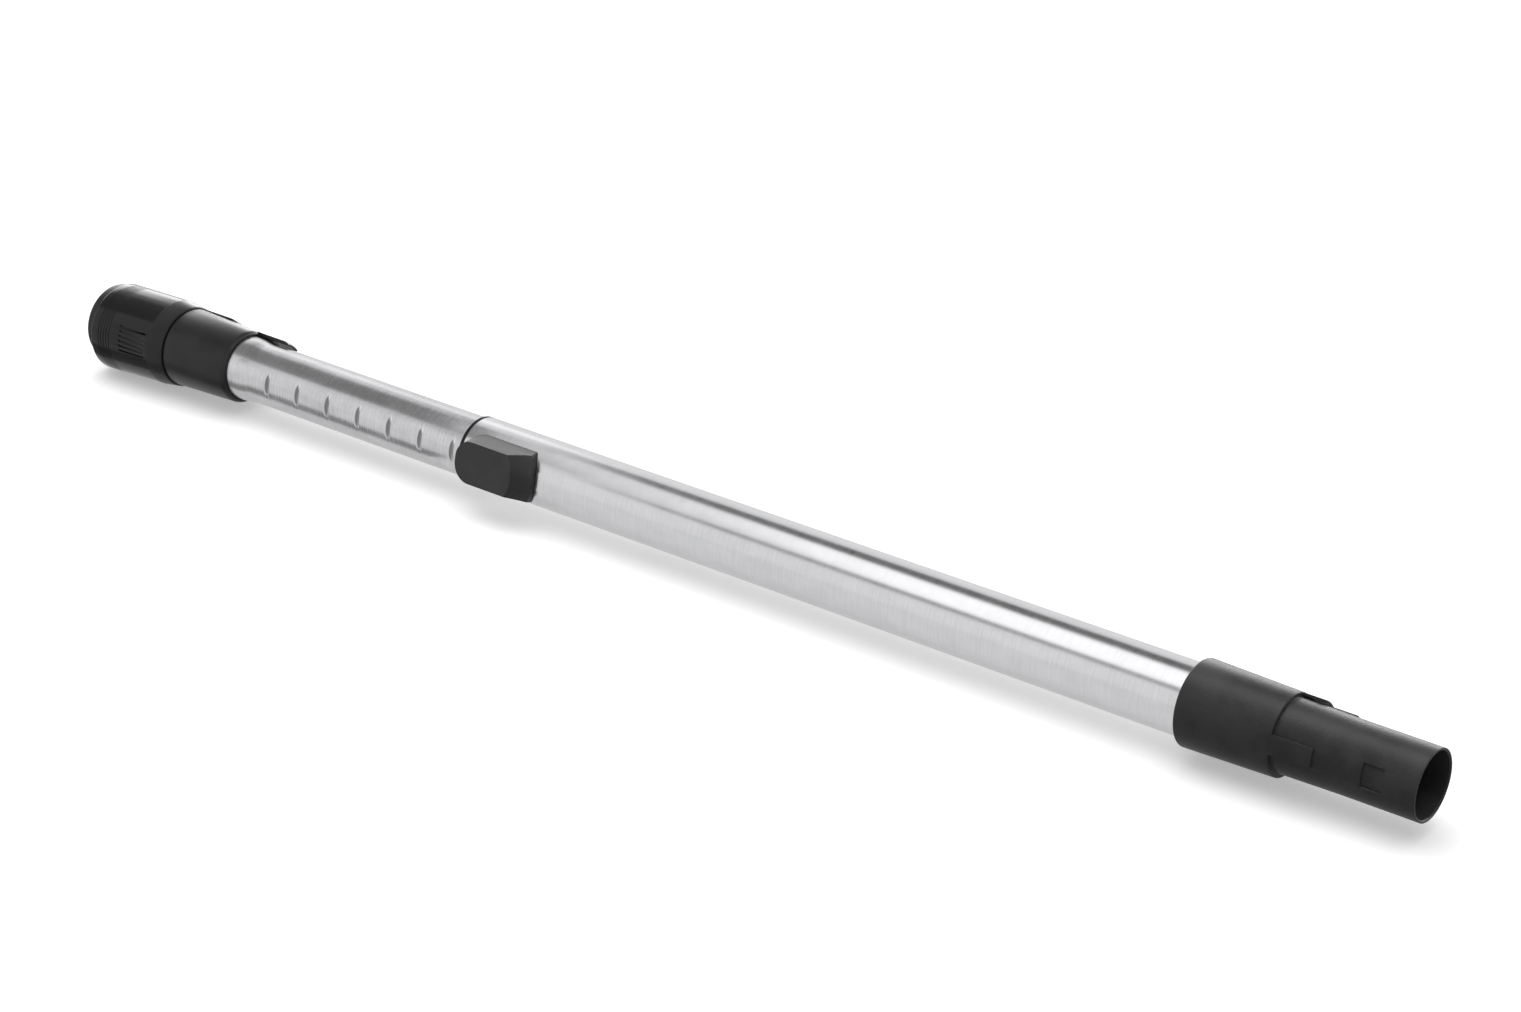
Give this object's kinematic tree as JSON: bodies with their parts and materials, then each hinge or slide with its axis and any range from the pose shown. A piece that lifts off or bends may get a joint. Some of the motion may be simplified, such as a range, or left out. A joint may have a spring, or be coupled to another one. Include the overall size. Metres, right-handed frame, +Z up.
{
  "type": "telescopic vacuum wand",
  "caption": "Telescopic steel vacuum cleaner wand with a notched inner tube, a sliding release button, a spigot end and a socket end with a release sleeve.",
  "frame": {"origin": "on the wand's axis, in the middle of the spigot's 38 mm fit length", "axes": "+X along the wand out of the spigot, +Z up as the wand lies, the release button on the -Y side"},
  "size_m": [0.815, 0.0497, 0.0488],
  "materials": {
    "tube_steel": "fine brushed round the tube",
    "grained_plastic": "fine grain, matt",
    "satin_plastic": "satin",
    "gloss_plastic": "polished",
    "button_plastic": "fine grain, satin",
    "bush_plastic": "smooth, matt",
    "seal_rubber": "matt",
    "pin_steel": "plain",
    "spring_steel": "drawn wire"
  },
  "bodies": {
    "outer": {"outer_tube": "tube_steel", "spigot_end": "grained_plastic", "spigot_seal": "seal_rubber", "spigot_pins": "pin_steel", "guide_bush": "bush_plastic", "wiper_ring": "seal_rubber", "latch_base": "bush_plastic", "latch_rivets": "pin_steel"},
    "button": {"release_button": "button_plastic", "button_spring": "spring_steel"},
    "key": {"latch_key": "pin_steel"},
    "inner": {"inner_tube": "tube_steel", "inner_end_guide": "bush_plastic", "inner_end_seal": "seal_rubber", "socket_collar": "satin_plastic", "collar_pins": "pin_steel", "socket_seal": "seal_rubber", "mouth_ring": "satin_plastic"},
    "sleeve": {"release_sleeve": "gloss_plastic", "sleeve_spring": "spring_steel"},
    "pawl": {"socket_pawl": "pin_steel"}
  },
  "joints": [
    {"name": "telescope", "type": "slide", "parent": "outer", "child": "inner", "axis": [1, 0, 0], "range_m": [-0.2205, 0.1323]},
    {"name": "release_button", "type": "slide", "parent": "outer", "child": "button", "axis": [-1, 0, 0], "range_m": [0, 0.005], "stiffness_N_per_m": 600, "springref_m": -0.002},
    {"name": "latch_key", "type": "slide", "parent": "outer", "child": "key", "axis": [0, -0.9781, 0.2079], "range_m": [0, 0.0014]},
    {"name": "release_sleeve", "type": "slide", "parent": "inner", "child": "sleeve", "axis": [-1, 0, 0], "range_m": [0, 0.004], "stiffness_N_per_m": 800, "springref_m": -0.002},
    {"name": "socket_pawl", "type": "slide", "parent": "inner", "child": "pawl", "axis": [0, -0.9781, 0.2079], "range_m": [0, 0.0012]}
  ],
  "couplings": [
    {"joint": "latch_key", "follows": "release_button", "ratio": 0.28},
    {"joint": "socket_pawl", "follows": "release_sleeve", "ratio": 0.3}
  ]
}
